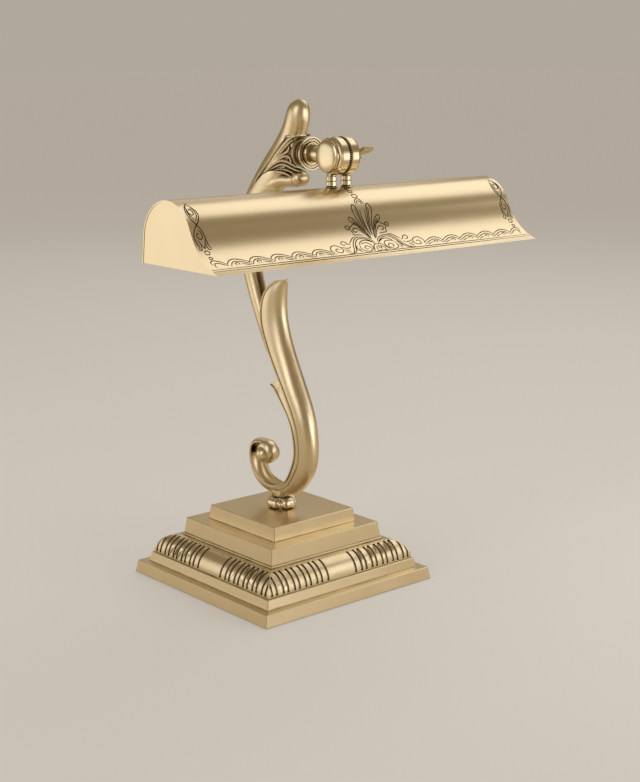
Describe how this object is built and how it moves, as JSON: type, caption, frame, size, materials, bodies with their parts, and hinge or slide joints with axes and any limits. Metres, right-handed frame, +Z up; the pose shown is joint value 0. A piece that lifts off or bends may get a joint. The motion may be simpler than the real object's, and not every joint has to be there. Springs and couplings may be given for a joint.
{
  "type": "piano lamp",
  "caption": "Piano lamp with a stepped square weighted base, a cast scroll arm and a long rolled shade that tilts on a clamped swivel.",
  "frame": {"origin": "centre of the felt face that the lamp stands on", "axes": "+X along the shade towards the wing screw, -Y the front towards the shade's lip, +Z up"},
  "size_m": [0.3626, 0.2465, 0.447],
  "materials": {
    "aged_brass": "satin antique brass with dark patina in the recesses",
    "cast_brass": "satin antique cast brass, wiped bright on the crowns",
    "turned_brass": "turned brass, brighter on the edges",
    "shade_brass": "brushed antique brass sheet with dark engraved lines",
    "zinc_steel": "zinc plated steel",
    "grey_iron": "raw grey casting",
    "felt": "dark green wool felt",
    "black_rubber": "matt moulded rubber",
    "white_nylon": "moulded nylon",
    "black_phenolic": "moulded phenolic",
    "frosted_glass": "inside-frosted lamp glass"
  },
  "bodies": {
    "stand": {"base_plinth": "aged_brass", "fluted_tier": "aged_brass", "middle_tier": "aged_brass", "crown_tier": "aged_brass", "arm_collar": "cast_brass", "front_scroll": "cast_brass", "back_scroll": "cast_brass", "scroll_ball": "cast_brass", "upper_arm": "cast_brass", "neck_collar": "turned_brass", "swivel_neck": "turned_brass", "cover_plate": "zinc_steel", "cover_screws": "zinc_steel", "tie_tube": "zinc_steel", "tie_washer": "zinc_steel", "tie_nut": "zinc_steel", "arm_screws": "zinc_steel", "ballast": "grey_iron", "felt_pad": "felt", "inlet_bushing": "black_rubber", "terminal_block": "white_nylon"},
    "shade": {"left_ear": "turned_brass", "right_ear": "turned_brass", "left_cap": "turned_brass", "wing_washer": "turned_brass", "left_post": "turned_brass", "right_post": "turned_brass", "shade_shell": "shade_brass", "left_end_cap": "shade_brass", "right_end_cap": "shade_brass", "post_washers": "zinc_steel", "post_nuts": "zinc_steel", "lamp_bracket": "zinc_steel", "holder_nuts": "zinc_steel", "left_lampholder": "black_phenolic", "right_lampholder": "black_phenolic", "left_bulb": "frosted_glass", "right_bulb": "frosted_glass"},
    "wing": {"wing_screw": "turned_brass"}
  },
  "joints": [
    {"name": "shade_tilt", "type": "hinge", "parent": "stand", "child": "shade", "pos_m": [0, -0.08, 0.4], "axis": [1, 0, 0], "range_deg": [-90, 25]},
    {"name": "wing_turn", "type": "hinge", "parent": "shade", "child": "wing", "pos_m": [0, -0.08, 0.4], "axis": [1, 0, 0], "range_deg": [0, 360]}
  ]
}
